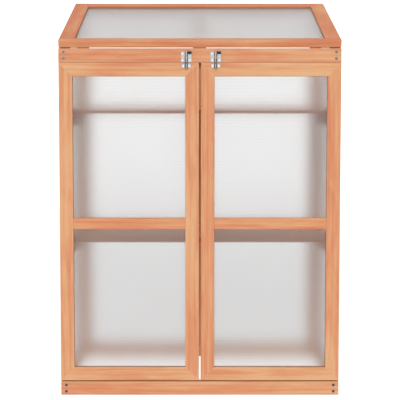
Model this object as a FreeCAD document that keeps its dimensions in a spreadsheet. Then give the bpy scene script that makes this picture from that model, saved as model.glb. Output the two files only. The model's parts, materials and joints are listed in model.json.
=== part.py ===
import FreeCAD, Part
import Sketcher
import os
import re

# A wooden mini greenhouse in millimetres: a box of posts, rails and twin-wall sheets, two doors with mitred
# corners, a sloping lid hinged at the rear, two slatted shelves, butt hinges and two barrel bolts.
# The front faces -Y, and the floor is at z = 0. Depths are counted from the front faces of the doors.

SIZES = {
    # The whole
    "body_width": 760,
    "body_depth": 470,
    "front_height": 968,
    "roof_slope": 15.5,
    "edge_radius": 1.5,
    # Posts and rails
    "front_post_width": 28,
    "front_post_depth": 28,
    "rear_post_width": 40,
    "rear_post_depth": 28,
    "centre_post_width": 40,
    "rail_thickness": 20,
    "side_bottom_height": 38,
    "side_top_height": 20,
    "rear_bottom_height": 38,
    "rear_top_height": 40,
    "front_bottom_height": 37.5,
    "front_top_height": 37.5,
    "front_top_drop": 1.8,
    # Doors
    "door_thickness": 17,
    "door_foot_gap": 2.7,
    "door_head_gap": 0.8,
    "door_meeting_gap": 5,
    "door_frame_width": 37,
    "mid_rail_height": 30,
    "lower_pane_height": 380.5,
    # Twin-wall sheets and the grooves that hold them
    "sheet_thickness": 4,
    "sheet_inset": 3,
    "groove_depth": 8,
    "groove_play": 0.2,
    "sheet_edge_play": 1,
    # Lid
    "lid_thickness": 21,
    "lid_side_width": 42.5,
    "lid_front_width": 21.5,
    "lid_rear_width": 42.5,
    "lid_sheet_inset": 6,
    "lid_play": 0.3,
    # Shelves
    "upper_shelf_height": 780.5,
    "lower_shelf_height": 425.5,
    "shelf_rail_height": 35,
    "shelf_rail_thickness": 20,
    "slat_thickness": 10.5,
    "slat_gap": 8,
    "slat_count": 5,
    "shelf_play": 2,
    # Hinges
    "hinge_gap": 4.4,
    "hinge_height": 50,
    "leaf_width": 20,
    "leaf_thickness": 1,
    "barrel_radius": 2,
    "barrel_root": 0.5,
    "pin_radius": 1,
    "pin_play": 0.08,
    "knuckle_height": 15,
    "knuckle_play": 0.3,
    "leaf_screw_reach": 12,
    "leaf_screw_spacing": 28,
    "door_hinge_offset": 110,
    "lid_hinge_offset": 90,
    # Barrel bolts
    "left_bolt_offset": 36.7,
    "right_bolt_offset": 42.4,
    "bolt_plate_width": 28.5,
    "bolt_plate_height": 28.5,
    "bolt_plate_thickness": 1.2,
    "bolt_corner_radius": 2,
    "bolt_guide_height": 8.4,
    "bolt_strap_height": 7.6,
    "bolt_window_width": 9.5,
    "bolt_screw_across": 20,
    "bolt_screw_spacing": 17,
    "guide_wall": 1.2,
    "rod_radius": 2.5,
    "rod_length": 30.1,
    "rod_play": 0.3,
    "rod_end_radius": 0.8,
    "arm_radius": 1.6,
    "knob_radius": 3.8,
    "knob_length": 10,
    "knob_reach": 5,
    "knob_tilt": 30,
    "knob_height": 25.7,
    "knob_edge_radius": 1.2,
    "keeper_width": 24,
    "keeper_height": 11,
    "keeper_drop": 3.4,
    "keeper_screw_across": 17,
    "drawn_clearance": 0.3,
    # Screws
    "frame_screw_spacing": 17.2,
    "frame_screw_radius": 2,
    "frame_screw_length": 40,
    "frame_screw_head_radius": 4,
    "frame_screw_head_height": 2.5,
    "frame_screw_recess": 4.4,
    "frame_screw_recess_width": 1.1,
    "frame_screw_recess_depth": 1.5,
    "small_screw_radius": 1.25,
    "small_screw_length": 12,
    "small_screw_head_radius": 2.4,
    "small_screw_head_height": 1,
    "small_screw_recess": 2.6,
    "small_screw_recess_width": 0.65,
    "small_screw_recess_depth": 0.6,
    "screw_play": 0.1,
}

doc = FreeCAD.newDocument("mini_greenhouse")
sheet = doc.addObject("Spreadsheet::Sheet", "Sizes")
for row, (name, value) in enumerate(SIZES.items(), 1):
    sheet.set(f"A{row}", name)
    sheet.set(f"B{row}", str(value))
    sheet.setAlias(f"B{row}", name)
doc.recompute()

ALIAS = re.compile(r"\b(" + "|".join(SIZES) + r")\b")
X_AXIS = FreeCAD.Vector(1, 0, 0)
Y_AXIS = FreeCAD.Vector(0, 1, 0)
Z_AXIS = FreeCAD.Vector(0, 0, 1)
UPRIGHT = FreeCAD.Rotation()
ORIGIN = ("0", "0", "0")

# Where a sketch's corners start, before their dimensions move them, and what counts as parallel
ROUGH_SIDE = 50.0
ROUGH_CORNERS = [FreeCAD.Vector(x, y, 0) * ROUGH_SIDE for x, y in ((1, 1), (2, 1), (2, 2), (1, 2))]
PARALLEL = 1e-4

# Heights, depths and lengths that several pieces share, as formulas of the sheet's cells
HALF_WIDTH = "(body_width / 2)"
AXIS_OUT = "(bolt_plate_thickness + rod_play + rod_radius)"
KNOB_END = "((knob_reach + knob_length - knob_edge_radius) * sin(knob_tilt))"
KNOB_SIDE = "((knob_radius - knob_edge_radius) * cos(knob_tilt))"
KNOB_OUT = f"({AXIS_OUT} + {KNOB_END} + {KNOB_SIDE} + knob_edge_radius)"
BARREL_OUT = "(hinge_gap / 2 + barrel_radius)"
FRONT = f"(({KNOB_OUT} - {BARREL_OUT} - body_depth) / 2)"
POST_LENGTH_OR_MORE = "(2 * front_height)"
POST_FRONT = "(door_thickness + hinge_gap)"
POST_BACK = f"({POST_FRONT} + front_post_depth)"
REAR_POST_FRONT = "(body_depth - rear_post_depth)"
SIDE_RUN = f"({REAR_POST_FRONT} - {POST_BACK})"
GROOVE_WIDTH = "(sheet_thickness + 2 * groove_play)"
GROOVE_INSET = "(sheet_inset - groove_play)"
SHEET_GRIP = "(groove_depth - sheet_edge_play)"
SHEET_FOOT = "(groove_depth - groove_play)"
LID_FOOT = "(front_height - lid_thickness * cos(roof_slope))"
LID_LENGTH = "((body_depth - lid_thickness * sin(roof_slope)) / cos(roof_slope))"
TOP_RAIL_FOOT = f"({LID_FOOT} - front_top_drop - front_top_height)"
DOOR_FOOT = "(front_bottom_height + door_foot_gap)"
DOOR_HEIGHT = f"({TOP_RAIL_FOOT} - door_head_gap - {DOOR_FOOT})"
DOOR_WIDTH = f"({HALF_WIDTH} - door_meeting_gap / 2)"
DOOR_BACK = f"({FRONT} + door_thickness)"
HINGE_DEPTH = f"({FRONT} + door_thickness + hinge_gap / 2)"
KEEPER_TOP = f"({DOOR_FOOT} + {DOOR_HEIGHT} - keeper_drop)"
ROD_TIP = f"({DOOR_FOOT} + {DOOR_HEIGHT} + drawn_clearance)"
ROD_DEPTH = f"({FRONT} - {AXIS_OUT})"


def underside(depth):
    """Height of the lid's underside at a depth behind the front."""
    return f"(front_height - lid_thickness / cos(roof_slope) + ({depth}) * tan(roof_slope))"


def post_top(depth):
    """Height of what the lid rests on at a depth behind the front."""
    return f"({underside(depth)} - lid_play / cos(roof_slope))"


REAR_RAIL_FOOT = f"({post_top('body_depth - rail_thickness')} - rear_top_height)"


def size(name):
    return float(sheet.get(name))


def tie(item, prop, formula):
    """Binds a property to a formula in which each size stands for its cell."""
    item.setExpression(prop, ALIAS.sub(r"Sizes.\1", formula))


def place(item, at, turn=UPRIGHT):
    item.Placement = FreeCAD.Placement(FreeCAD.Vector(), turn)
    for axis, formula in zip("xyz", at):
        tie(item, f"Placement.Base.{axis}", formula)


def named(item, label):
    item.Label = label
    return item


def new_body(label):
    return named(doc.addObject("PartDesign::Body", label), label)


def block(body, kind, at, lengths):
    """A box added to a body or cut from it."""
    item = body.newObject(f"PartDesign::{kind}Box", f"{kind}Box")
    for prop, formula in zip(("Length", "Width", "Height"), lengths):
        tie(item, prop, formula)
    place(item, at)
    return item


def rod(body, kind, at, turn, radius, length):
    """A cylinder added to a body or cut from it."""
    item = body.newObject(f"PartDesign::{kind}Cylinder", f"{kind}Cylinder")
    tie(item, "Radius", radius)
    tie(item, "Height", length)
    place(item, at, turn)
    return item


def cone(body, kind, at, turn, start_radius, end_radius, length):
    item = body.newObject(f"PartDesign::{kind}Cone", f"{kind}Cone")
    tie(item, "Radius1", start_radius)
    tie(item, "Radius2", end_radius)
    tie(item, "Height", length)
    place(item, at, turn)
    return item


def outline(body, role, corners):
    """A closed sketch through four corners, each a pair of formulas, on one of the body's own planes."""
    sketch = body.newObject("Sketcher::SketchObject", "Outline")
    plane = next(f for f in body.Origin.OriginFeatures if f.Role == role)
    sketch.AttachmentSupport = (plane, [""])
    sketch.MapMode = "FlatFace"
    for start, end in zip(ROUGH_CORNERS, ROUGH_CORNERS[1:] + ROUGH_CORNERS[:1]):
        sketch.addGeometry(Part.LineSegment(start, end), False)
    for index in range(len(corners)):
        following = (index + 1) % len(corners)
        sketch.addConstraint(Sketcher.Constraint("Coincident", index, 2, following, 1))
    for index, corner in enumerate(corners):
        for kind, formula, axis in zip(("DistanceX", "DistanceY"), corner, (-2, -1)):
            if formula == "0":
                sketch.addConstraint(Sketcher.Constraint("PointOnObject", index, 1, axis))
                continue
            number = sketch.addConstraint(Sketcher.Constraint(kind, -1, 1, index, 1, ROUGH_SIDE))
            sketch.renameConstraint(number, f"{kind}{index}")
            tie(sketch, f"Constraints.{kind}{index}", formula)
    return sketch


def pad(body, role, corners, length):
    item = body.newObject("PartDesign::Pad", "Pad")
    item.Profile = outline(body, role, corners)
    tie(item, "Length", length)
    return item


def round_edges(body, feature, radius, chosen):
    """Rounds the edges of a body's last feature that pass a test."""
    doc.recompute()
    names = [f"Edge{index}" for index, edge in enumerate(feature.Shape.Edges, 1) if chosen(edge)]
    rounding = body.newObject("PartDesign::Fillet", "Rounding")
    rounding.Base = (feature, names)
    tie(rounding, "Radius", radius)


def ease(body, feature, direction, radius="edge_radius"):
    """Rounds the edges that run along a direction."""

    def runs_along(edge):
        if not isinstance(edge.Curve, (Part.Line, Part.LineSegment)):
            return False
        run = edge.Vertexes[1].Point - edge.Vertexes[0].Point
        return run.cross(direction).Length < PARALLEL * run.Length

    round_edges(body, feature, radius, runs_along)


def round_rims(body, feature, radius):
    """Rounds the rims of a cylinder."""
    round_edges(body, feature, radius, lambda edge: isinstance(edge.Curve, Part.Circle))


def board(label, at, lengths, grain, grooves=(), lean=UPRIGHT):
    """A straight board with rounded long edges. Each groove is its low corner and its lengths."""
    body = new_body(label)
    ease(body, block(body, "Additive", ORIGIN, lengths), grain)
    for corner, extent in grooves:
        block(body, "Subtractive", corner, extent)
    place(body, at, lean)
    return body


def bore(body, at, turn, screw):
    """A hole for one screw: its countersink, then its shank, along the turned Z axis."""
    shank = f"{screw}_screw_radius + screw_play"
    head = f"{screw}_screw_head_radius + screw_play"
    cone(body, "Subtractive", at, turn, head, shank, f"{screw}_screw_head_height")
    rod(body, "Subtractive", at, turn, shank, f"{screw}_screw_length + screw_play")


def group(label, master, places):
    """Copies of one piece, in one named group. Each place is a point and a turn."""
    copies = []
    for at, turn in places:
        copy = doc.addObject("App::Link", f"{label}_copy")
        copy.LinkedObject = master
        place(copy, at, turn)
        copies.append(copy)
    return joined(label, copies)


def joined(label, pieces):
    compound = doc.addObject("Part::Compound", label)
    compound.Links = pieces
    return named(compound, label)


def screw_master(screw):
    """A countersunk screw with its head's face at z = 0 and its shank along Z, with a cross recess."""
    body = new_body(f"{screw}_screw")
    head, shank = f"{screw}_screw_head_radius", f"{screw}_screw_radius"
    cone(body, "Additive", ORIGIN, UPRIGHT, head, shank, f"{screw}_screw_head_height")
    rod(body, "Additive", ORIGIN, UPRIGHT, shank, f"{screw}_screw_length")
    long = f"{screw}_screw_recess"
    short = f"{screw}_screw_recess_width"
    deep = f"{screw}_screw_recess_depth"
    for across, along in ((long, short), (short, long)):
        block(body, "Subtractive", (f"-({across}) / 2", f"-({along}) / 2", "0"), (across, along, deep))
    return body


def along(direction):
    """The turn that lays the Z axis along a direction."""
    return FreeCAD.Rotation(Z_AXIS, direction)


INTO_FRONT = along(Y_AXIS)
OUT_OF_BACK = along(-Y_AXIS)
frame_screw = screw_master("frame")
small_screw = screw_master("small")


def less(formula, *others):
    return f"({formula}) - " + " - ".join(f"({other})" for other in others)


# Both ends of the body, as a name, the sign of X and the place of the outer face

ENDS = (("left", -1), ("right", 1))


def from_end(sign, inset, length):
    """The low X of something that lies inset from the outer face at one end and is that long."""
    if sign < 0:
        return f"(-{HALF_WIDTH} + ({inset}))"
    return f"({HALF_WIDTH} - ({inset}) - ({length}))"


def within(sign, width, inset, length):
    """The low X, inside a piece of that width flush with the outer face, of a groove inset from that face."""
    if sign < 0:
        return f"({inset})"
    return f"(({width}) - ({inset}) - ({length}))"


def frame_screw_places(foot, tall):
    """Where the screws of a fixed front rail go in: two at each end, over the middle of the posts."""
    places = []
    for _, sign in ENDS:
        for step in (-1, 1):
            across = from_end(sign, "front_post_width / 2", "0")
            up = f"({foot} + {tall} / 2 + {step} * frame_screw_spacing / 2)"
            places.append((across, FRONT, up))
    return places


FRAME_SCREWS = frame_screw_places("0", "front_bottom_height")
FRAME_SCREWS += frame_screw_places(TOP_RAIL_FOOT, "front_top_height")


def door_hinge_feet():
    """The low ends of a door's two hinges."""
    return (
        f"({DOOR_FOOT} + door_hinge_offset)",
        f"({DOOR_FOOT} + {DOOR_HEIGHT} - door_hinge_offset - hinge_height)",
    )


def leaf_screw_steps():
    """How far along a hinge its screws stand from the low end."""
    return tuple(f"(hinge_height / 2 + {step} * leaf_screw_spacing / 2)" for step in (-1, 1))


# Posts


def front_post(name, sign):
    body = new_body(f"front_post_{name}")
    foot_to_top = (
        ("0", "0"),
        ("front_post_depth", "0"),
        ("front_post_depth", post_top(POST_BACK)),
        ("0", post_top(POST_FRONT)),
    )
    ease(body, pad(body, "YZ_Plane", foot_to_top, "front_post_width"), Z_AXIS)
    groove_x = within(sign, "front_post_width", GROOVE_INSET, GROOVE_WIDTH)
    block(
        body,
        "Subtractive",
        (groove_x, "front_post_depth - groove_depth", "0"),
        (GROOVE_WIDTH, "groove_depth", POST_LENGTH_OR_MORE),
    )
    low_x = from_end(sign, "0", "front_post_width")
    low_y = f"({FRONT} + {POST_FRONT})"
    for across, _, up in FRAME_SCREWS:
        if (f"-{HALF_WIDTH}" in across) == (sign < 0):
            bore(body, (less(across, low_x), less(FRONT, low_y), up), INTO_FRONT, "frame")
    for foot in door_hinge_feet():
        for step in leaf_screw_steps():
            across = from_end(sign, "barrel_radius + leaf_screw_reach", "0")
            at = (less(across, low_x), "-leaf_thickness", f"{foot} + {step}")
            bore(body, at, INTO_FRONT, "small")
    place(body, (low_x, low_y, "0"))
    return body


def rear_post(name, sign):
    body = new_body(f"rear_post_{name}")
    foot_to_top = (
        ("0", "0"),
        ("rear_post_depth", "0"),
        ("rear_post_depth", post_top("body_depth")),
        ("0", post_top(REAR_POST_FRONT)),
    )
    ease(body, pad(body, "YZ_Plane", foot_to_top, "rear_post_width"), Z_AXIS)
    side_x = within(sign, "rear_post_width", GROOVE_INSET, GROOVE_WIDTH)
    block(body, "Subtractive", (side_x, "0", "0"), (GROOVE_WIDTH, "groove_depth", POST_LENGTH_OR_MORE))
    back_x = within(sign, "rear_post_width", "rear_post_width - groove_depth", "groove_depth")
    back_y = f"rear_post_depth - {GROOVE_INSET} - {GROOVE_WIDTH}"
    block(body, "Subtractive", (back_x, back_y, "0"), ("groove_depth", GROOVE_WIDTH, POST_LENGTH_OR_MORE))
    place(body, (from_end(sign, "0", "rear_post_width"), f"{FRONT} + {REAR_POST_FRONT}", "0"))
    return body


def centre_post():
    tall = f"({REAR_RAIL_FOOT} - rear_bottom_height)"
    groove_y = f"(rail_thickness - {GROOVE_INSET} - {GROOVE_WIDTH})"
    grooves = [
        ((low, groove_y, "0"), ("groove_depth", GROOVE_WIDTH, tall))
        for low in ("0", "centre_post_width - groove_depth")
    ]
    at = ("-centre_post_width / 2", f"{FRONT} + body_depth - rail_thickness", "rear_bottom_height")
    return board("rear_centre_post", at, ("centre_post_width", "rail_thickness", tall), Z_AXIS, grooves)


# Rails of the sides and the rear


def side_bottom_rail(name, sign):
    groove_x = within(sign, "rail_thickness", GROOVE_INSET, GROOVE_WIDTH)
    groove = ((groove_x, "0", "side_bottom_height - groove_depth"), (GROOVE_WIDTH, SIDE_RUN, "groove_depth"))
    at = (from_end(sign, "0", "rail_thickness"), f"{FRONT} + {POST_BACK}", "0")
    lengths = ("rail_thickness", SIDE_RUN, "side_bottom_height")
    return board(f"side_bottom_rail_{name}", at, lengths, Y_AXIS, [groove])


def side_top_rail(name, sign):
    """The sloping rail under the lid's edge, with upright ends and the side sheet's groove below."""
    body = new_body(f"side_top_rail_{name}")
    rise = f"({SIDE_RUN} * tan(roof_slope))"
    tall = "(side_top_height / cos(roof_slope))"
    side = (("0", "0"), (SIDE_RUN, rise), (SIDE_RUN, f"{rise} + {tall}"), ("0", tall))
    rail = pad(body, "YZ_Plane", side, "rail_thickness")
    slope = FreeCAD.Rotation(X_AXIS, size("roof_slope"))
    ease(body, rail, slope.multVec(Y_AXIS))
    groove_x = within(sign, "rail_thickness", GROOVE_INSET, GROOVE_WIDTH)
    length = f"({SIDE_RUN} / cos(roof_slope) + 2 * side_top_height)"
    start = (groove_x, "-side_top_height * cos(roof_slope)", "-side_top_height * sin(roof_slope)")
    cut = block(body, "Subtractive", start, (GROOVE_WIDTH, length, "groove_depth"))
    place(cut, start, slope)
    low_x = from_end(sign, "0", "rail_thickness")
    place(body, (low_x, f"{FRONT} + {POST_BACK}", f"{post_top(POST_BACK)} - {tall}"))
    return body


def shelf_rails(label, shelf_height):
    """The pair of rails between the posts that a shelf's slats lie on, flush with the posts' inner faces."""
    rails = []
    for name, sign in ENDS:
        inset = "(front_post_width - shelf_rail_thickness)"
        at = (
            from_end(sign, inset, "shelf_rail_thickness"),
            f"{FRONT} + {POST_BACK}",
            f"{shelf_height} - slat_thickness - shelf_rail_height",
        )
        lengths = ("shelf_rail_thickness", SIDE_RUN, "shelf_rail_height")
        rails.append(board(f"{label}_{name}", at, lengths, Y_AXIS))
    return joined(label, rails)


def rear_bottom_rail():
    long = "(body_width - 2 * rear_post_width)"
    groove_y = f"(rail_thickness - {GROOVE_INSET} - {GROOVE_WIDTH})"
    groove = (("0", groove_y, "rear_bottom_height - groove_depth"), (long, GROOVE_WIDTH, "groove_depth"))
    at = (f"-{long} / 2", f"{FRONT} + body_depth - rail_thickness", "0")
    return board("rear_bottom_rail", at, (long, "rail_thickness", "rear_bottom_height"), X_AXIS, [groove])


def rear_top_rail():
    """The rail that carries the lid's hinges, bevelled on top to the slope of the lid."""
    body = new_body("rear_top_rail")
    long = "(body_width - 2 * rear_post_width)"
    section = (
        ("0", "0"),
        ("rail_thickness", "0"),
        ("rail_thickness", "rear_top_height + rail_thickness * tan(roof_slope)"),
        ("0", "rear_top_height"),
    )
    ease(body, pad(body, "YZ_Plane", section, long), X_AXIS)
    groove_y = f"(rail_thickness - {GROOVE_INSET} - {GROOVE_WIDTH})"
    block(body, "Subtractive", ("0", groove_y, "0"), (long, GROOVE_WIDTH, "groove_depth"))
    for across, axis_height in lid_hinge_axes():
        for step in leaf_screw_steps():
            x = f"({across}) + {step} + {long} / 2"
            at = (x, "rail_thickness + leaf_thickness", less(axis_height, "leaf_screw_reach", REAR_RAIL_FOOT))
            bore(body, at, OUT_OF_BACK, "small")
    place(body, (f"-{long} / 2", f"{FRONT} + body_depth - rail_thickness", REAR_RAIL_FOOT))
    return body


def lid_hinge_axes():
    """The low X and the height of the pin's axis of each hinge of the lid."""
    height = f"({underside('body_depth')} + hinge_gap / 2 * tan(roof_slope / 2))"
    return (
        (f"(-{HALF_WIDTH} + lid_hinge_offset)", height),
        (f"({HALF_WIDTH} - lid_hinge_offset - hinge_height)", height),
    )


def fixed_front_rail(label, foot, tall):
    """A front rail as thick as a door and its hinge gap, so that it finishes flush with the doors."""
    at = (f"-{HALF_WIDTH}", FRONT, foot)
    body = board(label, at, ("body_width", POST_FRONT, tall), X_AXIS)
    for across, _, up in frame_screw_places(foot, tall):
        bore(body, (f"{across} + {HALF_WIDTH}", "0", less(up, foot)), INTO_FRONT, "frame")
    if label == "front_top_rail":
        for across, up in bolt_screw_places():
            at = (f"{across} + {HALF_WIDTH}", "-bolt_plate_thickness", less(up, foot))
            bore(body, at, INTO_FRONT, "small")
    return body


# Twin-wall sheets of the sides and the rear


def side_sheet(name, sign):
    body = new_body(f"side_sheet_{name}")
    start = f"({POST_BACK} - {SHEET_GRIP})"
    end = f"({REAR_POST_FRONT} + {SHEET_GRIP})"
    foot = f"(side_bottom_height - {SHEET_FOOT})"
    under_rail = f"((lid_play + side_top_height - {SHEET_GRIP}) / cos(roof_slope))"
    side = (
        ("0", "0"),
        (less(end, start), "0"),
        (less(end, start), less(underside(end), under_rail, foot)),
        ("0", less(underside(start), under_rail, foot)),
    )
    pad(body, "YZ_Plane", side, "sheet_thickness")
    place(body, (from_end(sign, "sheet_inset", "sheet_thickness"), f"{FRONT} + {start}", foot))
    return body


def back_sheet(name, sign):
    body = new_body(f"back_sheet_{name}")
    wide = f"({HALF_WIDTH} - rear_post_width - centre_post_width / 2 + 2 * {SHEET_GRIP})"
    foot = f"(rear_bottom_height - {SHEET_FOOT})"
    tall = less(REAR_RAIL_FOOT, foot, f"-{SHEET_GRIP}")
    block(body, "Additive", ORIGIN, (wide, "sheet_thickness", tall))
    low_x = from_end(sign, f"rear_post_width - {SHEET_GRIP}", wide)
    place(body, (low_x, f"{FRONT} + body_depth - sheet_inset - sheet_thickness", foot))
    return body


# Shelves


def shelf_slats(label, shelf_height):
    """Slats along X, laid on the shelf rails and evenly spaced between the posts."""
    slat = new_body(f"{label}_slat")
    long = "(body_width - 2 * (sheet_inset + sheet_thickness + shelf_play))"
    run = f"({SIDE_RUN} - 2 * shelf_play)"
    wide = f"(({run} + slat_gap) / slat_count - slat_gap)"
    ease(slat, block(slat, "Additive", ORIGIN, (long, wide, "slat_thickness")), X_AXIS)
    places = []
    for number in range(int(size("slat_count"))):
        low_y = f"{FRONT} + {POST_BACK} + shelf_play + {number} * ({wide} + slat_gap)"
        places.append(((f"-{long} / 2", low_y, f"{shelf_height} - slat_thickness"), UPRIGHT))
    return group(label, slat, places)


# Doors: a mitred frame, a middle rail between the stiles and two panes


def mitred_member(label, length, corner, quarter_turns):
    """One side of a door's frame. Its own X runs along the outer edge, Y points inwards and Z forwards."""
    body = new_body(label)
    wide = "door_frame_width"
    shape = (("0", "0"), (length, "0"), (f"{length} - {wide}", wide), (wide, wide))
    ease(body, pad(body, "XY_Plane", shape, "door_thickness"), X_AXIS)
    groove_z = f"((door_thickness - {GROOVE_WIDTH}) / 2)"
    groove_at = ("0", f"{wide} - groove_depth", groove_z)
    block(body, "Subtractive", groove_at, (length, "groove_depth", GROOVE_WIDTH))
    turn = FreeCAD.Rotation(X_AXIS, 90).multiply(FreeCAD.Rotation(Z_AXIS, 90 * quarter_turns))
    place(body, (corner[0], DOOR_BACK, corner[1]), turn)
    return body


def door_edges(sign):
    """The X of a door's low and high edges."""
    if sign < 0:
        return f"(-{HALF_WIDTH})", "(-door_meeting_gap / 2)"
    return "(door_meeting_gap / 2)", HALF_WIDTH


def door_frame(name, sign):
    low, high = door_edges(sign)
    head = f"({DOOR_FOOT} + {DOOR_HEIGHT})"
    bottom = mitred_member(f"{name}_door_bottom_rail", DOOR_WIDTH, (low, DOOR_FOOT), 0)
    right = mitred_member("right_stile", DOOR_HEIGHT, (high, DOOR_FOOT), 1)
    top = mitred_member(f"{name}_door_top_rail", DOOR_WIDTH, (high, head), 2)
    left = mitred_member("left_stile", DOOR_HEIGHT, (low, head), 3)
    outer, inner = (left, right) if sign < 0 else (right, left)
    outer.Label = f"{name}_door_outer_stile"
    inner.Label = f"{name}_door_inner_stile"
    for across, up in keeper_screw_places(sign):
        at = (less(high, across), less(head, up), "door_thickness + bolt_plate_thickness")
        bore(top, at, along(-Z_AXIS), "small")
    for foot in door_hinge_feet():
        for step in leaf_screw_steps():
            up = f"({foot} + {step})"
            run = less(head, up) if sign < 0 else less(up, DOOR_FOOT)
            bore(outer, (run, "barrel_radius + leaf_screw_reach", "-leaf_thickness"), UPRIGHT, "small")
    return [bottom, top, outer, inner]


def door_filling(name, sign):
    """The middle rail, grooved above and below, and the panes on each side of it."""
    low, _ = door_edges(sign)
    sight = f"({DOOR_WIDTH} - 2 * door_frame_width)"
    rail_foot = f"({DOOR_FOOT} + door_frame_width + lower_pane_height)"
    groove_y = f"((door_thickness - {GROOVE_WIDTH}) / 2)"
    grooves = [
        (("0", groove_y, up), (sight, GROOVE_WIDTH, "groove_depth"))
        for up in ("0", "mid_rail_height - groove_depth")
    ]
    at = (f"{low} + door_frame_width", FRONT, rail_foot)
    rail = board(f"{name}_door_mid_rail", at, (sight, "door_thickness", "mid_rail_height"), X_AXIS, grooves)
    wide = f"({sight} + 2 * {SHEET_GRIP})"
    panes = []
    upper_foot = f"({rail_foot} + mid_rail_height)"
    upper_head = f"({DOOR_FOOT} + {DOOR_HEIGHT} - door_frame_width)"
    for level, foot, head in (
        ("lower", f"({DOOR_FOOT} + door_frame_width)", rail_foot),
        ("upper", upper_foot, upper_head),
    ):
        pane = new_body(f"{name}_door_{level}_pane")
        tall = f"({head} - {foot} + {SHEET_FOOT} + {SHEET_GRIP})"
        block(pane, "Additive", ORIGIN, (wide, "sheet_thickness", tall))
        low_x = f"{low} + door_frame_width - {SHEET_GRIP}"
        low_y = f"{FRONT} + (door_thickness - sheet_thickness) / 2"
        place(pane, (low_x, low_y, f"{foot} - {SHEET_FOOT}"))
        panes.append(pane)
    return [rail] + panes


# Lid, in its own frame: X along the front, Y up the slope and Z square to it


def on_lid(across, up_slope, above):
    """The place of a point of the lid's own frame."""
    y = f"{FRONT} + ({up_slope}) * cos(roof_slope) + (lid_thickness - ({above})) * sin(roof_slope)"
    z = f"{LID_FOOT} + ({up_slope}) * sin(roof_slope) + ({above}) * cos(roof_slope)"
    return (f"-{HALF_WIDTH} + {across}", y, z)


def lid_pieces():
    lean = FreeCAD.Rotation(X_AXIS, size("roof_slope"))
    groove_z = "(lid_thickness - lid_sheet_inset - sheet_thickness - groove_play)"
    side_long = f"({LID_LENGTH} - lid_front_width)"
    between = "(body_width - 2 * lid_side_width)"

    front_groove = (
        ("lid_side_width - groove_depth", "lid_front_width - groove_depth", groove_z),
        (f"{between} + 2 * groove_depth", "groove_depth", GROOVE_WIDTH),
    )
    front_size = ("body_width", "lid_front_width", "lid_thickness")
    pieces = [board("lid_front_bar", on_lid("0", "0", "0"), front_size, X_AXIS, [front_groove], lean)]

    for name, sign in ENDS:
        groove_x = "lid_side_width - groove_depth" if sign < 0 else "0"
        low_x = "0" if sign < 0 else "body_width - lid_side_width"
        groove = ((groove_x, "0", groove_z), ("groove_depth", side_long, GROOVE_WIDTH))
        lengths = ("lid_side_width", side_long, "lid_thickness")
        at = on_lid(low_x, "lid_front_width", "0")
        pieces.append(board(f"lid_stile_{name}", at, lengths, Y_AXIS, [groove], lean))

    rear_groove = (("0", "0", groove_z), (between, "groove_depth", GROOVE_WIDTH))
    rear_start = f"({LID_LENGTH} - lid_rear_width)"
    rear_size = (between, "lid_rear_width", "lid_thickness")
    at = on_lid("lid_side_width", rear_start, "0")
    rear = board("lid_rear_rail", at, rear_size, X_AXIS, [rear_groove], lean)
    for across, _ in lid_hinge_axes():
        for step in leaf_screw_steps():
            x = f"({across}) + {step} + {HALF_WIDTH} - lid_side_width"
            z = "leaf_screw_reach - hinge_gap / 2 * tan(roof_slope / 2)"
            bore(rear, (x, "lid_rear_width + leaf_thickness", z), OUT_OF_BACK, "small")
    pieces.append(rear)

    cover = new_body("lid_sheet")
    sheet_long = f"({LID_LENGTH} - lid_front_width - lid_rear_width + {SHEET_FOOT} + {SHEET_GRIP})"
    sheet_wide = f"({between} + 2 * {SHEET_GRIP})"
    block(cover, "Additive", ORIGIN, (sheet_wide, sheet_long, "sheet_thickness"))
    sheet_z = f"{groove_z} + groove_play"
    low = on_lid(f"lid_side_width - {SHEET_GRIP}", f"lid_front_width - {SHEET_FOOT}", sheet_z)
    place(cover, low, lean)
    return pieces + [cover]


# Butt hinges, in their own frame: the pin's axis is Z, and a leaf runs along X against its wood


def hinge_leaf(label, side):
    """A leaf with its knuckles: the two end ones where side is 1, the middle one where it is -1."""
    body = new_body(label)
    low_y = "hinge_gap / 2 - leaf_thickness" if side > 0 else "-hinge_gap / 2"
    near = "(barrel_radius + barrel_root)"
    flat = (f"leaf_width - {near}", "leaf_thickness", "hinge_height")
    block(body, "Additive", (near, low_y, "0"), flat)
    reach = "(knuckle_height + knuckle_play)"
    knuckles = [("0", "knuckle_height"), ("hinge_height - knuckle_height", "knuckle_height")]
    if side < 0:
        knuckles = [(reach, f"hinge_height - 2 * {reach}")]
    for foot, tall in knuckles:
        block(body, "Additive", ("0", low_y, foot), (near, "leaf_thickness", tall))
        rod(body, "Additive", ("0", "0", foot), UPRIGHT, "barrel_radius", tall)
    rod(body, "Subtractive", ORIGIN, UPRIGHT, "pin_radius + pin_play", "hinge_height")
    open_side = "hinge_gap / 2 - leaf_thickness" if side > 0 else "leaf_thickness - hinge_gap / 2"
    for step in leaf_screw_steps():
        bore(body, ("leaf_screw_reach", open_side, step), along(Y_AXIS * side), "small")
    return body


def hinge_pin():
    body = new_body("hinge_pin")
    rod(body, "Additive", ORIGIN, UPRIGHT, "pin_radius", "hinge_height")
    return body


def door_hinge_places(sign):
    """Where a door's hinges stand. The right ones are turned half round, from their high ends."""
    places = []
    for foot in door_hinge_feet():
        across = from_end(sign, "barrel_radius", "0")
        if sign < 0:
            places.append(((across, HINGE_DEPTH, foot), UPRIGHT))
        else:
            top = f"({foot} + hinge_height)"
            places.append(((across, HINGE_DEPTH, top), FreeCAD.Rotation(Y_AXIS, 180)))
    return places


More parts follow.
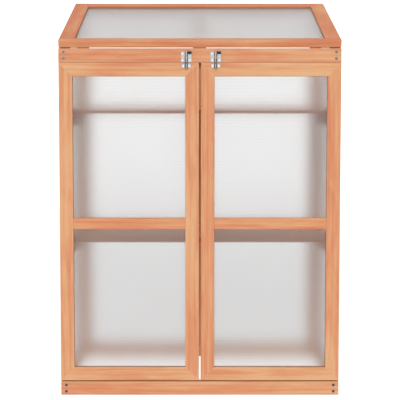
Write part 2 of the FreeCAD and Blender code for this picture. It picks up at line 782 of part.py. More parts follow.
def lid_hinge_places(up_leaf):
    """Where the lid's hinges lie, with a leaf down the rear rail or up the lid's rear edge."""
    lean = FreeCAD.Rotation(X_AXIS, size("roof_slope"))
    x_to, y_to = -Z_AXIS, -Y_AXIS
    if up_leaf:
        x_to, y_to = lean.multVec(Z_AXIS), lean.multVec(Y_AXIS)
    turn = FreeCAD.Rotation(x_to, y_to, -X_AXIS, "XYZ")
    depth = f"{FRONT} + body_depth + hinge_gap / 2"
    return [((f"({across} + hinge_height)", depth, height), turn) for across, height in lid_hinge_axes()]


def screws_of_leaf(leaf_places, side):
    """Where the screws of hinge leaves go in, worked out from the leaves' own places."""
    places = []
    open_side = "(hinge_gap / 2 - leaf_thickness)" if side > 0 else "(leaf_thickness - hinge_gap / 2)"
    for at, turn in leaf_places:
        x_to, y_to, z_to = (turn.multVec(axis) for axis in (X_AXIS, Y_AXIS, Z_AXIS))
        for step in leaf_screw_steps():
            point = []
            for low, x, y, z in zip(at, x_to, y_to, z_to):
                shift = f"leaf_screw_reach * {x:.12f} + {open_side} * {y:.12f} + {step} * {z:.12f}"
                point.append(f"{low} + {shift}")
            places.append((point, along(y_to * side)))
    return places


# Barrel bolts, in their own frame: the rod's axis is Z, the knob points to +X and the wood is on +Y


def bolt_places():
    """Each bolt's name and the X of its rod."""
    return (("left", "(-left_bolt_offset)"), ("right", "right_bolt_offset"))


def bolt_screw_places():
    places = []
    for _, across in bolt_places():
        for side in (-1, 1):
            for step in (-1, 1):
                x = f"{across} + {side} * bolt_screw_across / 2"
                z = f"{TOP_RAIL_FOOT} + bolt_plate_height / 2 + {step} * bolt_screw_spacing / 2"
                places.append((x, z))
    return places


def keeper_screw_places(sign):
    _, across = bolt_places()[0 if sign < 0 else 1]
    height = f"({KEEPER_TOP} - keeper_height / 2)"
    return [(f"({across} + {side} * keeper_screw_across / 2)", height) for side in (-1, 1)]


def plate_with_guide(label, wide, tall, guide_tall, screws):
    """A flat plate with rounded corners and, at its foot, a sleeve that the rod slides through."""
    body = new_body(label)
    plate_y = f"({AXIS_OUT} - bolt_plate_thickness)"
    flat = block(body, "Additive", (f"-{wide} / 2", plate_y, "0"), (wide, "bolt_plate_thickness", tall))
    ease(body, flat, Y_AXIS, "bolt_corner_radius")
    outer = "(rod_radius + rod_play + guide_wall)"
    block(body, "Additive", (f"-{outer}", "0", "0"), (f"2 * {outer}", AXIS_OUT, guide_tall))
    rod(body, "Additive", ORIGIN, UPRIGHT, outer, guide_tall)
    rod(body, "Subtractive", ORIGIN, UPRIGHT, "rod_radius + rod_play", tall)
    for x, z in screws:
        bore(body, (x, plate_y, z), INTO_FRONT, "small")
    return body


def bolt_plate(name, across):
    screws = [
        (f"{side} * bolt_screw_across / 2", f"bolt_plate_height / 2 + {step} * bolt_screw_spacing / 2")
        for side in (-1, 1)
        for step in (-1, 1)
    ]
    label = f"bolt_plate_{name}"
    body = plate_with_guide(label, "bolt_plate_width", "bolt_plate_height", "bolt_guide_height", screws)
    window = "(bolt_plate_height - bolt_guide_height - bolt_strap_height)"
    low = ("-bolt_window_width / 2", f"{AXIS_OUT} - bolt_plate_thickness", "bolt_guide_height")
    block(body, "Subtractive", low, ("bolt_window_width", "bolt_plate_thickness", window))
    place(body, (across, ROD_DEPTH, TOP_RAIL_FOOT))
    return body


def keeper(name, across):
    screws = [(f"{side} * keeper_screw_across / 2", "keeper_height / 2") for side in (-1, 1)]
    label = f"bolt_keeper_{name}"
    body = plate_with_guide(label, "keeper_width", "keeper_height", "keeper_height", screws)
    place(body, (across, ROD_DEPTH, f"{KEEPER_TOP} - keeper_height"))
    return body


def knob_turn():
    """Lays Z along the knob's arm, out to +X and a little forward."""
    return along(FreeCAD.Rotation(Z_AXIS, -size("knob_tilt")).multVec(X_AXIS))


def bolt_rod(name, across):
    """The rod with its arm, drawn clear of the door."""
    body = new_body(f"bolt_rod_{name}")
    shaft = rod(body, "Additive", ORIGIN, UPRIGHT, "rod_radius", "rod_length")
    round_rims(body, shaft, "rod_end_radius")
    rod(body, "Additive", ("0", "0", "knob_height"), knob_turn(), "arm_radius", "knob_reach")
    place(body, (across, ROD_DEPTH, ROD_TIP))
    return body


def bolt_knob(name, across):
    body = new_body(f"bolt_knob_{name}")
    grip = rod(body, "Additive", ORIGIN, UPRIGHT, "knob_radius", "knob_length")
    round_rims(body, grip, "knob_edge_radius")
    at = (
        f"{across} + knob_reach * cos(knob_tilt)",
        f"{ROD_DEPTH} - knob_reach * sin(knob_tilt)",
        f"{ROD_TIP} + knob_height",
    )
    place(body, at, knob_turn())
    return body


# All the pieces, each of which is one file

pieces = [centre_post(), rear_bottom_rail(), rear_top_rail()]
pieces.append(fixed_front_rail("front_bottom_rail", "0", "front_bottom_height"))
pieces.append(fixed_front_rail("front_top_rail", TOP_RAIL_FOOT, "front_top_height"))
for name, sign in ENDS:
    pieces += [front_post(name, sign), rear_post(name, sign)]
    pieces += [side_bottom_rail(name, sign), side_top_rail(name, sign)]
    pieces += [side_sheet(name, sign), back_sheet(name, sign)]
    pieces += door_frame(name, sign) + door_filling(name, sign)
for level in ("upper", "lower"):
    pieces.append(shelf_rails(f"{level}_shelf_rails", f"{level}_shelf_height"))
    pieces.append(shelf_slats(f"{level}_shelf_slats", f"{level}_shelf_height"))
pieces += lid_pieces()

fixed_leaf = hinge_leaf("fixed_leaf", 1)
moving_leaf = hinge_leaf("moving_leaf", -1)
left_hinges, right_hinges = door_hinge_places(-1), door_hinge_places(1)
lid_down, lid_up = lid_hinge_places(False), lid_hinge_places(True)
fixed_places = left_hinges + right_hinges + lid_down
pieces.append(group("fixed_hinge_leaves", fixed_leaf, fixed_places))
pieces.append(group("hinge_pins", hinge_pin(), fixed_places))
pieces.append(group("left_door_hinge_leaves", moving_leaf, left_hinges))
pieces.append(group("right_door_hinge_leaves", moving_leaf, right_hinges))
pieces.append(group("lid_hinge_leaves", moving_leaf, lid_up))

for name, across in bolt_places():
    pieces += [bolt_plate(name, across), keeper(name, across)]
    pieces += [bolt_rod(name, across), bolt_knob(name, across)]

pieces.append(group("frame_screws", frame_screw, [(at, INTO_FRONT) for at in FRAME_SCREWS]))
plate_face = f"{FRONT} - bolt_plate_thickness"
bolt_screws = [((x, plate_face, z), INTO_FRONT) for x, z in bolt_screw_places()]
pieces.append(group("bolt_plate_screws", small_screw, bolt_screws))
pieces.append(group("fixed_hinge_screws", small_screw, screws_of_leaf(fixed_places, 1)))
pieces.append(group("lid_screws", small_screw, screws_of_leaf(lid_up, -1)))
for name, sign, hinges in (("left", -1, left_hinges), ("right", 1, right_hinges)):
    keepers = [((x, plate_face, z), INTO_FRONT) for x, z in keeper_screw_places(sign)]
    pieces.append(group(f"{name}_door_screws", small_screw, keepers + screws_of_leaf(hinges, -1)))

doc.recompute()
for item in doc.Objects:
    if "Invalid" in item.State or "Error" in item.State:
        raise SystemExit(f"{item.Label} failed: {item.State}")
for piece in pieces:
    if piece.Shape.isNull() or not piece.Shape.isValid():
        raise SystemExit(f"{piece.Label} has no valid shape")

os.makedirs("parts", exist_ok=True)
for piece in pieces:
    piece.Shape.exportStep(f"parts/{piece.Label}.step")
    solids = piece.Shape.Solids
    print(piece.Label, len(solids), "solids", round(sum(solid.Volume for solid in solids) / 1000, 1), "cm3")
print(len(pieces), "pieces")
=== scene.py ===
"""The wooden mini greenhouse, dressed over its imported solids: stained pine, fluted twin-wall sheets,
zinc-plated steel, blue-black screws and black plastic knobs."""

import json
import math
import random

import bmesh
import bpy
from mathutils import Euler, Matrix, Vector


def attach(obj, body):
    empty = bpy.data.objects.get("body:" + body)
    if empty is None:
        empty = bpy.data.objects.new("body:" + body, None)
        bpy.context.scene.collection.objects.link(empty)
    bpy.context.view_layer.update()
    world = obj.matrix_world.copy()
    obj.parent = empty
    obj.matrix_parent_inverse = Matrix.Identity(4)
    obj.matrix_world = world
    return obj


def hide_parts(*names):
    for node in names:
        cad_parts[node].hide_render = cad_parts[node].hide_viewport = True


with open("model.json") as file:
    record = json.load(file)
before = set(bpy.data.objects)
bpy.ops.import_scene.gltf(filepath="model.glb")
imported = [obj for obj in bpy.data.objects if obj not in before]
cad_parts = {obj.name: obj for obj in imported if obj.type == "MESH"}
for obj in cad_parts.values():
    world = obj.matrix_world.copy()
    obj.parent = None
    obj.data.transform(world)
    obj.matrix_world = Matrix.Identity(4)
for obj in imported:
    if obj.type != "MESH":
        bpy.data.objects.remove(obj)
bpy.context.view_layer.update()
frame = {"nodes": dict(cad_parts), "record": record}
nodes = frame["nodes"]
slot_of = {part["node"]: part["material_slot"] for part in frame["record"]["subparts"]}
body_of = {name: body for body, names in frame["record"]["behaviour"]["bodies"].items() for name in names}

X_AXIS = Vector((1, 0, 0))
Y_AXIS = Vector((0, 1, 0))
Z_AXIS = Vector((0, 0, 1))
QUARTER_TURN = math.pi / 2
ROOF_SLOPE = math.radians(15.5)
UP_SLOPE = Vector((0, math.cos(ROOF_SLOPE), math.sin(ROOF_SLOPE)))
LID_NORMAL = UP_SLOPE.cross(-X_AXIS)
WHITE = (1, 1, 1, 1)

# How far apart the waves of a wave pattern are at scale 1
WAVE_PERIOD = math.pi / 10

# Edges rubbed by use. The likeness is between the way that the surface faces and the way that it would
# face if its edges were rounded: fully rubbed at the first value, and not rubbed from the second on.
EDGE_SAMPLES = 4
EDGE_LIKENESS = (0.75, 0.98)
RUB_DETAIL = 3.0
RUB_CONTRAST = (0.35, 0.6)
RUB_STRENGTH = (0.3, 1.0)

# Pine, as linear colours from the dark grain lines to the palest wood
GRAIN_COLOURS = ((0.485, 0.162, 0.078), (0.525, 0.225, 0.113), (0.555, 0.292, 0.148), (0.575, 0.33, 0.175))
GRAIN_STOPS = (0.37, 0.5, 0.6, 0.72)

# The layers of the grain, with their features a metre along the board and across it. Each board takes
# its part of them from a place of its own, up to so many metres away.
DRIFT = {"along": 3, "across": 14, "detail": 1}
FIGURE = {"along": 8, "across": 34, "detail": 3, "distortion": 0.8}
STREAKS = {"along": 7, "across": 260, "detail": 4, "distortion": 0.3}
FIBRES = {"along": 30, "across": 1300, "detail": 3}
GRAIN_DISTANCE = 5
DRIFT_SHARE = 0.6
STREAK_SHARE = 0.3
FIBRE_CONTRAST = (0.3, 0.7)
FIBRE_SHADES = (0.92, 1.05)

# Growth rings, and how far their heart lies to the side of a board's middle and out from its face
RING_PITCH = 0.016
RING_SHARE = 0.1
RING_STRETCH = Vector((0.15, 1, 1))
RING_WANDER = 9.0
RING_WANDER_SCALE = 0.6
RING_WANDER_DETAIL = 2.0
HEART_ASIDE = 0.02
HEART_OUT = (0.03, 0.06)

# The pine's surface and its paler worn edges
PINE_ROUGHNESS = (0.55, 0.75)
PINE_SPECULAR = 0.15
PINE_RELIEF = {"strength": 0.35, "distance": 0.0004}
STREAK_RELIEF_SHARE = 0.5
WORN_RADIUS = 0.0016
WORN_PATCHES = 14.0
WORN_PALENESS = 0.35
WORN_PINE = (0.64, 0.41, 0.235, 1)

# How much paler some boards are than the rest, or redder below zero, by the ends of their names. Where
# two ends fit the same board, they add up. Every board differs by up to the spread besides. Most of these
# are the wood's own tone, but the lid's stiles and rear rail are darker as painted shade against the
# stronger light on the lid's top, and the rear posts and rear bottom rail are paler as painted light.
BOARD_TONE_SPREAD = 0.02
BOARD_TONES_AND_PAINTED_LIGHT = {
    "door_top_rail": 0.06,
    "door_bottom_rail": 0.05,
    "left_door_bottom_rail": 0.05,
    "left_door_outer_stile": 0.01,
    "right_door_outer_stile": 0.015,
    "right_door_mid_rail": -0.02,
    "front_top_rail": 0.01,
    "lid_front_bar": 0.01,
    # Painted shade: the lid's rear rail and stiles are darker against the stronger light on the lid's top
    "lid_rear_rail": -0.05,
    "lid_stile_left": -0.04,
    "lid_stile_right": -0.04,
    # Painted light: the rear frame is paler, standing in for more light on it inside, where it is seen
    # through the sheets
    "rear_post_left": 0.08,
    "rear_post_right": 0.07,
    "rear_centre_post": 0.09,
    "rear_bottom_rail": 0.08,
}

# Zinc-plated steel, with the dull and bright parts of its mottling
SHEET_STEEL = ((0.42, 0.43, 0.46), (0.66, 0.67, 0.69))
BRIGHT_STEEL = ((0.76, 0.78, 0.8), (0.93, 0.94, 0.95))
MOTTLE = {"scale": 420.0, "detail": 4.0}
MOTTLE_STOPS = (0.3, 0.7)
STEEL_ROUGHNESS = (0.12, 0.2)
STEEL_RELIEF = {"strength": 0.08, "distance": 0.0002}
STEEL_RUB_RADIUS = 0.0004
STEEL_RUB_PATCHES = 90.0

# Painted shade in the corners beside a bolt's rod, on the flanks of the bend: its colour, where it sets in
# and where it ends, out from the rod's middle
ROD_FLANK_SHADE = (0.06, 0.07, 0.07, 1)
ROD_SHADE_SETS_IN = (0.0014, 0.002)
ROD_SHADE_ENDS = (0.0034, 0.0044)

# Blue-black screws, and the heights between which they grow paler and paler
COATING_COLOURS = ((0.03, 0.045, 0.055), (0.26, 0.33, 0.34))
COATING_STOPS = (0.4, 1.0)
COATING_SPOTS = {"scale": 600.0, "detail": 3.0}
COATING_METALLIC = 0.7
COATING_ROUGHNESS = 0.38
PALER_HEIGHTS = (0.5, 0.9)
HEIGHT_PALENESS = 0.25

# Black plastic
PLASTIC_COLOURS = ((0.012, 0.012, 0.013), (0.024, 0.024, 0.025))
PLASTIC_STOPS = (0.3, 0.7)
PLASTIC_GRAIN = {"scale": 2500.0, "detail": 2.0}
PLASTIC_RELIEF = {"strength": 0.2, "distance": 0.0001}
PLASTIC_ROUGHNESS = 0.4

# Twin-wall sheet: clear plastic with a little even haze, and more of it in lines along the webs
SHEET_TINT = 0.908
SHEET_ROUGHNESS = 0.28
SHEET_REFRACTION = 1.5
SHEET_HAZE = 0.04
HAZE_CLOUDS = {"scale": 9.0, "detail": 2.0}
WEB_HAZE = 0.13
WEB_CONTRAST = (0.78, 1.0)
GRAZING_POWER = 3.0
THROUGH_SHARE = 0.5

# The ripple of a sheet's faces, and how its mesh is cleaned and cut for it
FLUTE_PITCH = 0.0085
FLUTE_DEPTH = 0.00002
CUTS_PER_FLUTE = 6
MERGE_DISTANCE = 1e-6
FLAT_ANGLE = math.radians(1)
SHARP_ANGLE = math.radians(40)

# Where each sheet is: the grey of its shadow, the grey of its haze, and how much more haze shows edge on.
# The haze greys are painted light and shade as well: they differ by place, palest on the side sheets and
# darkest on the door panes, to stand in for how the light falls on each.
SHEET_PLACES = {
    "pane": {"shadow": 0.69, "haze_grey_and_light": 0.7, "grazing": 0.4},
    "lid": {"shadow": 0.77, "haze_grey_and_light": 0.77, "grazing": 0.4},
    "side": {"shadow": 0.77, "haze_grey_and_light": 0.9, "grazing": 0.95},
    "back": {"shadow": 0.77, "haze_grey_and_light": 0.8, "grazing": 0.4},
}

# The batten that the doors close against, between the front posts, and its thin lip under the top rail
STOP_MIDDLE = Vector((0, -0.2099, 0.901))
STOP_SIZE = Vector((0.702, 0.0054, 0.0148))
STOP_ROUNDING = 0.0006
STOP_ROUNDING_CUTS = 2
LIP_MIDDLE = Vector((0, -0.21875, 0.90813))
LIP_SIZE = Vector((0.7592, 0.0217, 0.0006))

# The photographer's place: the lens and the film's width in millimetres, the place in metres from the
# foot of the greenhouse's middle, and the tilt down
CAMERA_LENS = 103.92
CAMERA_FILM = 36
CAMERA_PLACE = (-0.0094, -3.3413, 0.8504)
CAMERA_TILT = math.radians(4.555)
CAMERA_SHIFT = (0.009, -0.06)

# A white backdrop, a dimmer studio round the greenhouse, and what shines in the steel: bright towards
# the front and back, dark towards the sides
BACKDROP_STRENGTH = 1.44
STUDIO_STRENGTH = (0.85, 1.15)
SHINE_STRENGTH = (0.02, 1.1)
SHINE_SPREAD = (0.35, 0.95)

# A broad soft key light from the front, and a lit table
KEY_STRENGTH = 1.6
KEY_ELEVATION = math.radians(34)
KEY_AZIMUTH = math.radians(-8)
KEY_BREADTH = math.radians(30)
FLOOR_SIZE = 9
FLOOR_TINT = 0.13
FLOOR_GLOW = 0.94


# What the materials are put together from


def new_material(name):
    """An empty material, and a helper that adds a node to it."""
    material = bpy.data.materials.new(name)
    material.use_nodes = True
    material.node_tree.nodes.clear()
    return material, node_adder(material.node_tree)


def node_adder(tree):
    """A helper that adds a node with its settings and inputs, where _0 and _1 are sockets by number."""

    def add(kind, settings=None, **inputs):
        node = tree.nodes.new(f"ShaderNode{kind}")
        for key, value in (settings or {}).items():
            setattr(node, key, value)
        for key, value in inputs.items():
            socket = node.inputs[int(key[1:]) if key[1:].isdigit() else key.replace("_", " ")]
            if isinstance(value, bpy.types.NodeSocket):
                tree.links.new(value, socket)
            else:
                socket.default_value = value
        return node

    return add


def grey(value):
    return (value, value, value, 1)


def object_place(add):
    return add("TexCoord").outputs["Object"]


def maths(add, operation, *values):
    sockets = {f"_{number}": value for number, value in enumerate(values)}
    return add("Math", {"operation": operation}, **sockets).outputs["Value"]


def remap(add, value, given, wanted=(0, 1), **settings):
    """The value with its given range laid over the wanted one, and held at both ends."""
    limits = {"From_Min": given[0], "From_Max": given[1], "To_Min": wanted[0], "To_Max": wanted[1]}
    return add("MapRange", settings, Value=value, **limits).outputs["Result"]


def blend(add, share, first, second):
    return add("Mix", Factor=share, A=first, B=second).outputs["Result"]


def blend_colours(add, share, first, second):
    return add("Mix", {"data_type": "RGBA"}, _0=share, _6=first, _7=second).outputs[2]


def blend_shaders(add, share, first, second):
    return add("MixShader", Fac=share, _1=first, _2=second).outputs["Shader"]


def ramp(add, factor, stops, colours):
    node = add("ValToRGB", Fac=factor)
    elements = node.color_ramp.elements
    while len(elements) < len(stops):
        elements.new(1)
    for element, stop, colour in zip(elements, stops, colours):
        element.position = stop
        element.color = (*colour, 1)
    return node.outputs["Color"]


def noise(add, place, scale, detail):
    return add("TexNoise", Vector=place, Scale=scale, Detail=detail).outputs["Fac"]


def stretched_noise(add, lay, along, across, detail, distortion=0.0):
    """Noise with so many features a metre along the grain and across it."""
    stretch = add("Mapping", Vector=lay, Scale=(along, across, across)).outputs["Vector"]
    return add("TexNoise", Vector=stretch, Scale=1.0, Detail=detail, Distortion=distortion).outputs["Fac"]


def relief(add, height, strength, distance):
    return add("Bump", Height=height, Strength=strength, Distance=distance).outputs["Normal"]


def edge_wear(add, radius, patches):
    """How rubbed the surface is: nothing on the flats, up to 1 in patches along the edges."""
    rounded = add("Bevel", {"samples": EDGE_SAMPLES}, Radius=radius).outputs["Normal"]
    flat = add("NewGeometry").outputs["Normal"]
    likeness = add("VectorMath", {"operation": "DOT_PRODUCT"}, _0=rounded, _1=flat).outputs["Value"]
    edge = remap(add, likeness, EDGE_LIKENESS, (1, 0))
    patchy = remap(add, noise(add, object_place(add), patches, RUB_DETAIL), RUB_CONTRAST, RUB_STRENGTH)
    return maths(add, "MULTIPLY", edge, patchy)


def finish(add, shader):
    add("OutputMaterial", Surface=shader)


def finish_surface(add, **inputs):
    finish(add, add("BsdfPrincipled", **inputs).outputs["BSDF"])


# Materials


def middle_of(node):
    corners = [Vector(corner) for corner in node.bound_box]
    return sum(corners, Vector()) / len(corners)


def heart_of(chance, turn, centre):
    """Where the heart of a board's log lies, with the board's grain along X."""
    centre = centre.copy()
    centre.rotate(Euler(turn))
    aside = chance.uniform(-HEART_ASIDE, HEART_ASIDE)
    out = chance.choice((-1, 1)) * chance.uniform(*HEART_OUT)
    return Vector((0, aside, out)) - centre * RING_STRETCH


def pine(name, turn, centre):
    """Planed, stained pine. The turn lays the board's grain along X."""
    chance = random.Random(name)
    material, add = new_material(f"pine_{name}")
    place = object_place(add)
    offset = [chance.uniform(-GRAIN_DISTANCE, GRAIN_DISTANCE) for _ in range(3)]
    lay = add("Mapping", Vector=place, Location=offset, Rotation=turn).outputs["Vector"]
    drift = stretched_noise(add, lay, **DRIFT)
    figure = stretched_noise(add, lay, **FIGURE)
    streaks = stretched_noise(add, lay, **STREAKS)
    fibres = stretched_noise(add, lay, **FIBRES)

    along = add("Mapping", Vector=place, Rotation=turn).outputs["Vector"]
    heart = heart_of(chance, turn, centre)
    bend = add("Mapping", Vector=along, Location=heart, Scale=RING_STRETCH).outputs["Vector"]
    rings = add("TexWave", {"wave_type": "RINGS", "rings_direction": "X"}, Vector=bend,
                Scale=WAVE_PERIOD / RING_PITCH, Distortion=RING_WANDER, Detail=RING_WANDER_DETAIL,
                Detail_Scale=RING_WANDER_SCALE).outputs["Fac"]

    cloudy = blend(add, DRIFT_SHARE, figure, drift)
    ringed = blend(add, RING_SHARE, cloudy, rings)
    streaked = blend(add, STREAK_SHARE, ringed, streaks)
    tone = chance.uniform(-BOARD_TONE_SPREAD, BOARD_TONE_SPREAD)
    # Besides the wood's own tones, this adds painted shade to the lid boards and painted light to the rear
    # frame
    tone += sum(shift for ending, shift in BOARD_TONES_AND_PAINTED_LIGHT.items() if name.endswith(ending))
    wood = ramp(add, maths(add, "ADD", streaked, tone), GRAIN_STOPS, GRAIN_COLOURS)
    fine = remap(add, fibres, FIBRE_CONTRAST, FIBRE_SHADES)
    fresh = add("VectorMath", {"operation": "SCALE"}, _0=wood, Scale=fine).outputs["Vector"]
    worn = maths(add, "MULTIPLY", edge_wear(add, WORN_RADIUS, WORN_PATCHES), WORN_PALENESS)

    finish_surface(
        add,
        Base_Color=blend_colours(add, worn, fresh, WORN_PINE),
        Roughness=remap(add, streaks, (0, 1), PINE_ROUGHNESS),
        Normal=relief(add, blend(add, STREAK_RELIEF_SHARE, fibres, streaks), **PINE_RELIEF),
        Specular_IOR_Level=PINE_SPECULAR,
    )
    return material


def twin_wall(name, turn, shadow, haze_grey_and_light, grazing):
    """Translucent sheet: it blurs what is behind it, scatters light and lets lamps through. The turn
    brings the way across its flutes onto Z."""
    material, add = new_material(f"twin_wall_{name}")
    place = object_place(add)
    clear = add("BsdfGlass", {"distribution": "BECKMANN"}, Color=grey(SHEET_TINT),
                Roughness=SHEET_ROUGHNESS, IOR=SHEET_REFRACTION).outputs["BSDF"]
    # The haze grey holds painted light: it is set per place to stand in for how brightly each sheet is lit
    glow = add("BsdfTranslucent", Color=grey(haze_grey_and_light)).outputs["BSDF"]
    milk = add("BsdfDiffuse", Color=grey(haze_grey_and_light)).outputs["BSDF"]
    scatter = blend_shaders(add, THROUGH_SHARE, glow, milk)

    even = remap(add, noise(add, place, **HAZE_CLOUDS), (0, 1), (SHEET_HAZE / 2, SHEET_HAZE * 1.5))
    level = add("Mapping", Vector=place, Rotation=turn).outputs["Vector"]
    webs = add("TexWave", {"bands_direction": "Z"}, Vector=level, Scale=WAVE_PERIOD / FLUTE_PITCH)
    milky = remap(add, webs.outputs["Fac"], WEB_CONTRAST, (0, WEB_HAZE))
    edge_on = maths(add, "POWER", add("LayerWeight").outputs["Facing"], GRAZING_POWER)
    dense = maths(add, "MULTIPLY_ADD", edge_on, grazing, milky)
    body = blend_shaders(add, maths(add, "ADD", even, dense), clear, scatter)

    through = add("BsdfTransparent", Color=grey(shadow)).outputs["BSDF"]
    rays = add("LightPath").outputs
    soft = maths(add, "MAXIMUM", rays["Is Shadow Ray"], rays["Is Diffuse Ray"])
    finish(add, blend_shaders(add, soft, body, through))
    return material


def beside_rod(add, place, middle):
    """1 in the two corners where a bolt plate or keeper is bent up over the rod, where shade is painted, and
    0 elsewhere.
    """
    across = add("SeparateXYZ", Vector=place).outputs["X"]
    off = maths(add, "ABSOLUTE", maths(add, "SUBTRACT", across, middle))
    inner = remap(add, off, ROD_SHADE_SETS_IN)
    outer = remap(add, off, ROD_SHADE_ENDS, (1, 0))
    return maths(add, "MULTIPLY", inner, outer)


def steel(name, dull, bright, rod=None):
    """Zinc-plated steel with a fine crystalline mottling, rubbed bright along its edges and, where it
    is bent over a rod, painted dark in the corners as shade on the flanks of the bend."""
    material, add = new_material(name)
    place = object_place(add)
    mottle = noise(add, place, **MOTTLE)
    plated = ramp(add, mottle, MOTTLE_STOPS, (dull, bright))
    rubbed = edge_wear(add, STEEL_RUB_RADIUS, STEEL_RUB_PATCHES)
    colour = blend_colours(add, rubbed, plated, (*bright, 1))
    if rod is not None:
        # Painted shade: the corners beside the rod are darkened
        colour = blend_colours(add, beside_rod(add, place, rod), colour, ROD_FLANK_SHADE)
    roughness = remap(add, mottle, (0, 1), STEEL_ROUGHNESS)
    normal = relief(add, mottle, **STEEL_RELIEF)
    finish_surface(add, Base_Color=colour, Metallic=1.0, Roughness=roughness, Normal=normal)
    return material


def coated_screw():
    """Blue-black coating, spotted, and paler the higher the screw sits."""
    material, add = new_material("blue_black_coating")
    place = object_place(add)
    height = add("SeparateXYZ", Vector=place).outputs["Z"]
    height_paleness = remap(add, height, PALER_HEIGHTS, (0, HEIGHT_PALENESS))
    spots_and_height = maths(add, "ADD", noise(add, place, **COATING_SPOTS), height_paleness)
    colour = ramp(add, spots_and_height, COATING_STOPS, COATING_COLOURS)
    finish_surface(add, Base_Color=colour, Metallic=COATING_METALLIC, Roughness=COATING_ROUGHNESS)
    return material


def black_plastic():
    """Moulded plastic with a fine spark-eroded grain."""
    material, add = new_material("black_plastic")
    grain = noise(add, object_place(add), **PLASTIC_GRAIN)
    colour = ramp(add, grain, PLASTIC_STOPS, PLASTIC_COLOURS)
    normal = relief(add, grain, **PLASTIC_RELIEF)
    finish_surface(add, Base_Color=colour, Roughness=PLASTIC_ROUGHNESS, Normal=normal)
    return material


# Which way the grain of each board runs, as the turn that lays it along X

ALONG_X = (0, 0, 0)
ALONG_Y = (0, 0, -QUARTER_TURN)
ALONG_Z = (0, QUARTER_TURN, 0)
ALONG_SLOPE = (-ROOF_SLOPE, 0, -QUARTER_TURN)


def grain_turn(name):
    if "post" in name or "door" in name and "stile" in name:
        return ALONG_Z
    if "lid_stile" in name or "side_top_rail" in name:
        return ALONG_SLOPE
    if "side_bottom_rail" in name or "shelf_rails" in name:
        return ALONG_Y
    return ALONG_X


# Pieces of the scene's own


def new_object(name, data):
    made = bpy.data.objects.new(name, data)
    bpy.context.scene.collection.objects.link(made)
    return made


def new_mesh(name, shape, material):
    """A mesh that takes over the finished shape, in its material."""
    data = bpy.data.meshes.new(name)
    shape.to_mesh(data)
    shape.free()
    data.materials.append(material)
    return data


def fluted_sheet(name, across, normal, body, material):
    """Stands for a twin-wall sheet's node: the same slab, cut along its flutes and rippled across them."""
    shape = bmesh.new()
    shape.from_mesh(nodes[name].data)
    bmesh.ops.remove_doubles(shape, verts=shape.verts, dist=MERGE_DISTANCE)
    bmesh.ops.dissolve_limit(shape, angle_limit=FLAT_ANGLE, verts=shape.verts, edges=shape.edges)
    reaches = [vert.co.dot(across) for vert in shape.verts]
    depths = [vert.co.dot(normal) for vert in shape.verts]
    middle = (min(depths) + max(depths)) / 2
    step = FLUTE_PITCH / CUTS_PER_FLUTE
    for number in range(math.ceil(min(reaches) / step), math.ceil(max(reaches) / step)):
        everything = shape.verts[:] + shape.edges[:] + shape.faces[:]
        bmesh.ops.bisect_plane(shape, geom=everything, plane_co=across * (number * step), plane_no=across)
    for vert in shape.verts:
        side = 1 if vert.co.dot(normal) > middle else -1
        wave = math.cos(2 * math.pi * vert.co.dot(across) / FLUTE_PITCH)
        vert.co += normal * (side * FLUTE_DEPTH * (wave - 1) / 2)
    data = new_mesh(f"{name}_fluted", shape, material)
    data.shade_smooth()
    data.set_sharp_from_angle(angle=SHARP_ANGLE)
    sheet = new_object(f"{name}_fluted", data)
    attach(sheet, body)
    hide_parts(name)


def door_stop():
    """The batten under the top rail that the doors close against, with its lip."""
    shape = bmesh.new()
    bmesh.ops.create_cube(shape, size=1, matrix=Matrix.LocRotScale(STOP_MIDDLE, None, STOP_SIZE))
    bmesh.ops.bevel(shape, geom=shape.edges[:], offset=STOP_ROUNDING, segments=STOP_ROUNDING_CUTS,
                    affect="EDGES")
    bmesh.ops.create_cube(shape, size=1, matrix=Matrix.LocRotScale(LIP_MIDDLE, None, LIP_SIZE))
    stop = new_object("door_stop", new_mesh("door_stop", shape, pine("door_stop", ALONG_X, STOP_MIDDLE)))
    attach(stop, "frame")


# Every solid in its finish


def paint(node, material):
    node.data.materials.clear()
    node.data.materials.append(material)


def sheet_lay(name):
    """The way across a sheet's flutes, the way out of its face, and the turn that brings the first onto Z."""
    if name == "lid_sheet":
        return UP_SLOPE, LID_NORMAL, (QUARTER_TURN - ROOF_SLOPE, 0, 0)
    return Z_AXIS, X_AXIS if name.startswith("side") else Y_AXIS, (0, 0, 0)


def dress_solids():
    sheet_steel = steel("zinc_plated_sheet_steel", *SHEET_STEEL)
    bright_steel = steel("bright_zinc_plated_steel", *BRIGHT_STEEL)
    finishes = {"screw": coated_screw(), "black_plastic": black_plastic()}
    for name, node in nodes.items():
        slot = slot_of[name]
        if slot == "pine":
            paint(node, pine(name, grain_turn(name), middle_of(node)))
        elif slot == "twin_wall":
            across, normal, turn = sheet_lay(name)
            sheet_place = next(place for place in SHEET_PLACES if place in name)
            sheet_finish = twin_wall(name, turn, **SHEET_PLACES[sheet_place])
            paint(node, sheet_finish)
            fluted_sheet(name, across, normal, body_of[name], sheet_finish)
        elif name.startswith(("bolt_plate_left", "bolt_plate_right", "bolt_keeper")):
            paint(node, steel(f"zinc_plated_{name}", *SHEET_STEEL, rod=middle_of(node).x))
        elif slot == "steel":
            paint(node, bright_steel if "screws" in name or "rod" in name else sheet_steel)
        else:
            paint(node, finishes[slot])


# Camera, light and floor


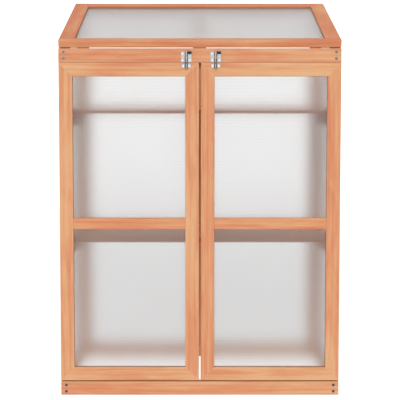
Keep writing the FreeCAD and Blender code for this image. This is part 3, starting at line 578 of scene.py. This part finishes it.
def set_camera():
    camera = new_object("camera", bpy.data.cameras.new("camera"))
    camera.location = CAMERA_PLACE
    camera.rotation_euler = Euler((QUARTER_TURN - CAMERA_TILT, 0, 0))
    camera.data.lens = CAMERA_LENS
    camera.data.sensor_width = CAMERA_FILM
    camera.data.shift_x, camera.data.shift_y = CAMERA_SHIFT
    bpy.context.scene.camera = camera


def set_surroundings():
    """White where it is seen straight or through a sheet, and a dimmer studio that lights the pieces."""
    world = bpy.data.worlds.new("studio")
    world.use_nodes = True
    world.node_tree.nodes.clear()
    add = node_adder(world.node_tree)
    rays = add("LightPath").outputs
    towards = add("SeparateXYZ", Vector=add("TexCoord").outputs["Generated"]).outputs

    backdrop = add("Background", Color=WHITE, Strength=BACKDROP_STRENGTH).outputs["Background"]
    overhead = remap(add, towards["Z"], (0, 1), STUDIO_STRENGTH)
    studio = add("Background", Color=WHITE, Strength=overhead).outputs["Background"]
    ahead = maths(add, "MULTIPLY", towards["Y"], towards["Y"])
    bright = remap(add, ahead, SHINE_SPREAD, SHINE_STRENGTH, interpolation_type="SMOOTHSTEP")
    shine = add("Background", Color=WHITE, Strength=bright).outputs["Background"]

    seen = maths(add, "MAXIMUM", rays["Is Camera Ray"], rays["Is Transmission Ray"])
    unseen = blend_shaders(add, rays["Is Glossy Ray"], studio, shine)
    add("OutputWorld", Surface=blend_shaders(add, seen, unseen, backdrop))
    bpy.context.scene.world = world


def set_key_light():
    key = new_object("key", bpy.data.lights.new("key", "SUN"))
    key.data.energy = KEY_STRENGTH
    key.data.angle = KEY_BREADTH
    key.rotation_euler = Euler((QUARTER_TURN - KEY_ELEVATION, 0, KEY_AZIMUTH))


def set_floor():
    bpy.ops.mesh.primitive_plane_add(size=FLOOR_SIZE)
    floor = bpy.context.object
    floor.name = "floor"
    material, add = new_material("floor")
    surface = add("BsdfDiffuse", Color=grey(FLOOR_TINT)).outputs["BSDF"]
    glow = add("Emission", Color=WHITE, Strength=FLOOR_GLOW).outputs["Emission"]
    finish(add, add("AddShader", _0=surface, _1=glow).outputs["Shader"])
    floor.data.materials.append(material)


dress_solids()
door_stop()
set_camera()
set_surroundings()
set_key_light()
set_floor()
bpy.context.scene.view_settings.view_transform = "Standard"
